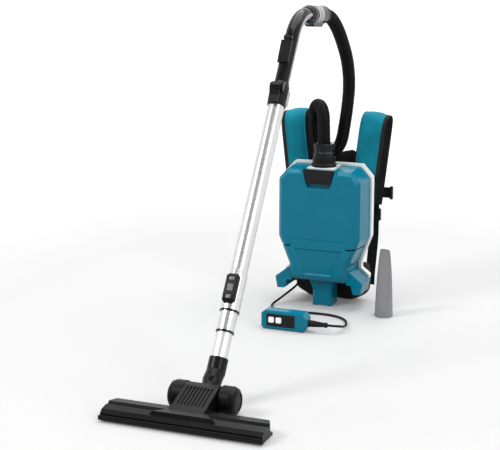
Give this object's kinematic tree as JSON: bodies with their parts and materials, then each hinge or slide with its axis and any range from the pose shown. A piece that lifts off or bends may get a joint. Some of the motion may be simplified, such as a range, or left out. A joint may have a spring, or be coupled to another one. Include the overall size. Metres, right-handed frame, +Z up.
{
  "type": "backpack vacuum cleaner",
  "caption": "Cordless backpack vacuum cleaner: faceted teal pack on a harness, looped hose, bent handle pipe, telescopic wand, floor nozzle, cable controller and crevice tool.",
  "frame": {"origin": "centre of the stand foot's sole, on the floor", "axes": "+Z up; the pack faces -Y, where the wand and floor nozzle lie; the wearer stands at +Y; +X to the right seen from the front"},
  "size_m": [0.332, 1.044, 0.7432],
  "materials": {
    "teal_shell": "glossy moulded teal",
    "rim": "satin off-white moulding",
    "black_plastic": "satin black moulding",
    "black_gloss": "glossy black moulding",
    "hose_plastic": "ribbed flexible dark grey",
    "cable_jacket": "smooth black jacket",
    "chrome": "polished chrome",
    "bright_tube": "bright polished tube",
    "silver_plastic": "silver lacquer",
    "steel": "plain steel",
    "strap_teal": "padded woven teal with black edging",
    "mesh": "black spacer mesh",
    "webbing": "black woven webbing",
    "rubber": "soft black rubber",
    "tyre": "domed black wheel",
    "filter_cloth": "pale non-woven",
    "motor_metal": "laminated and wound metal",
    "board_green": "circuit board",
    "tool_grey": "satin grey",
    "button_white": "white keys",
    "button_grey": "grey key"
  },
  "bodies": {
    "pack": {"lower_housing": "teal_shell", "cover_hinge_pins": "steel", "rear_housing": "rim", "cover_gasket": "rubber", "housing_screws": "steel", "stand_foot": "teal_shell", "inlet_collar": "black_plastic", "dust_bag": "filter_cloth", "prefilter": "filter_cloth", "hepa_filter": "filter_cloth", "motor_housing": "black_plastic", "motor_stator": "motor_metal", "motor_mounts": "rubber", "circuit_board": "board_green", "battery_terminals": "black_plastic", "harness_frame": "black_plastic", "back_pad": "mesh", "waist_pad": "mesh", "shoulder_strap_left": "strap_teal", "shoulder_strap_right": "strap_teal", "strap_webbing": "webbing", "ladder_locks": "black_gloss", "chest_strap": "webbing", "hose": "hose_plastic", "hose_end": "black_plastic", "cable_reliefs": "rubber", "controller_cable": "cable_jacket", "controller_front": "teal_shell", "controller_back": "teal_shell", "controller_panel": "black_gloss", "controller_board": "board_green"},
    "cover": {"front_cover": "teal_shell"},
    "latch": {"cover_latch": "black_gloss"},
    "inlet_swivel": {"inlet_ring": "black_gloss"},
    "fan": {"fan_rotor": "motor_metal"},
    "wand": {"bent_pipe": "black_gloss", "handle_cuff": "black_gloss", "wand_trims": "silver_plastic", "lever_pins": "steel", "outer_tube": "chrome", "guide_sleeve": "chrome", "tube_rings": "black_gloss", "lock_housing": "black_plastic"},
    "flap": {"relief_flap": "black_plastic"},
    "tube_lock": {"pipe_lock": "black_plastic"},
    "telescope": {"inner_tube": "bright_tube", "swivel_neck": "black_plastic"},
    "telescope_catch": {"telescope_button": "button_grey"},
    "yoke": {"pivot_drum": "black_plastic"},
    "nozzle": {"nozzle_body": "black_plastic", "nozzle_sole": "black_plastic", "lint_strips": "webbing", "nozzle_bumper": "rubber", "nozzle_axle": "steel"},
    "left_wheel": {"wheel_left": "tyre"},
    "right_wheel": {"wheel_right": "tyre"},
    "power_key": {"power_button": "button_white"},
    "mode_key": {"mode_button": "button_white"},
    "tool": {"crevice_tool": "tool_grey"}
  },
  "joints": [
    {"name": "cover_hinge", "type": "hinge", "parent": "pack", "child": "cover", "pos_m": [0, -0.054, 0.16], "axis": [1, 0, 0], "range_deg": [0, 88]},
    {"name": "latch_hinge", "type": "hinge", "parent": "cover", "child": "latch", "pos_m": [0, -0.0545, 0.317], "axis": [1, 0, 0], "range_deg": [0, 18], "stiffness_Nm_per_rad": 0.15},
    {"name": "inlet_turn", "type": "hinge", "parent": "pack", "child": "inlet_swivel", "pos_m": [-0.002, -0.012, 0.388], "axis": [0, 0, 1], "continuous": true},
    {"name": "fan_spin", "type": "hinge", "parent": "pack", "child": "fan", "pos_m": [0, -0.012, 0.11], "axis": [0, 0, 1], "continuous": true},
    {"name": "cuff_turn", "type": "hinge", "parent": "pack", "child": "wand", "pos_m": [0.032, -0.1355, 0.71695], "axis": [0, 0.9986, -0.0523], "continuous": true},
    {"name": "flap_hinge", "type": "hinge", "parent": "wand", "child": "flap", "pos_m": [0.032, -0.35881, 0.68203], "axis": [-1, 0, 0], "range_deg": [0, 25]},
    {"name": "tube_lock_hinge", "type": "hinge", "parent": "wand", "child": "tube_lock", "pos_m": [0.032, -0.42438, 0.58875], "axis": [-1, 0, 0], "range_deg": [0, 12], "stiffness_Nm_per_rad": 0.1},
    {"name": "telescope_slide", "type": "slide", "parent": "wand", "child": "telescope", "axis": [0, -0.5592, -0.829], "range_m": [0, 0.25]},
    {"name": "telescope_press", "type": "slide", "parent": "wand", "child": "telescope_catch", "axis": [0, 0.829, -0.5592], "range_m": [0, 0.0015], "stiffness_N_per_m": 600},
    {"name": "neck_swivel", "type": "hinge", "parent": "telescope", "child": "yoke", "pos_m": [0.032, -0.76531, 0.05417], "axis": [0, 0.8445, 0.5355], "range_deg": [-80, 80]},
    {"name": "nozzle_tilt", "type": "hinge", "parent": "yoke", "child": "nozzle", "pos_m": [0.032, -0.805, 0.029], "axis": [1, 0, 0], "range_deg": [-14, 25]},
    {"name": "left_wheel_roll", "type": "hinge", "parent": "nozzle", "child": "left_wheel", "pos_m": [-0.021, -0.805, 0.029], "axis": [1, 0, 0], "continuous": true},
    {"name": "right_wheel_roll", "type": "hinge", "parent": "nozzle", "child": "right_wheel", "pos_m": [0.085, -0.805, 0.029], "axis": [1, 0, 0], "continuous": true},
    {"name": "power_press", "type": "slide", "parent": "pack", "child": "power_key", "axis": [0, 1, 0], "range_m": [0, 0.001], "stiffness_N_per_m": 700},
    {"name": "mode_press", "type": "slide", "parent": "pack", "child": "mode_key", "axis": [0, 1, 0], "range_m": [0, 0.001], "stiffness_N_per_m": 700},
    {"name": "tool_lift", "type": "slide", "parent": "pack", "child": "tool", "axis": [0, 0, 1], "range_m": [0, 0.25]}
  ]
}
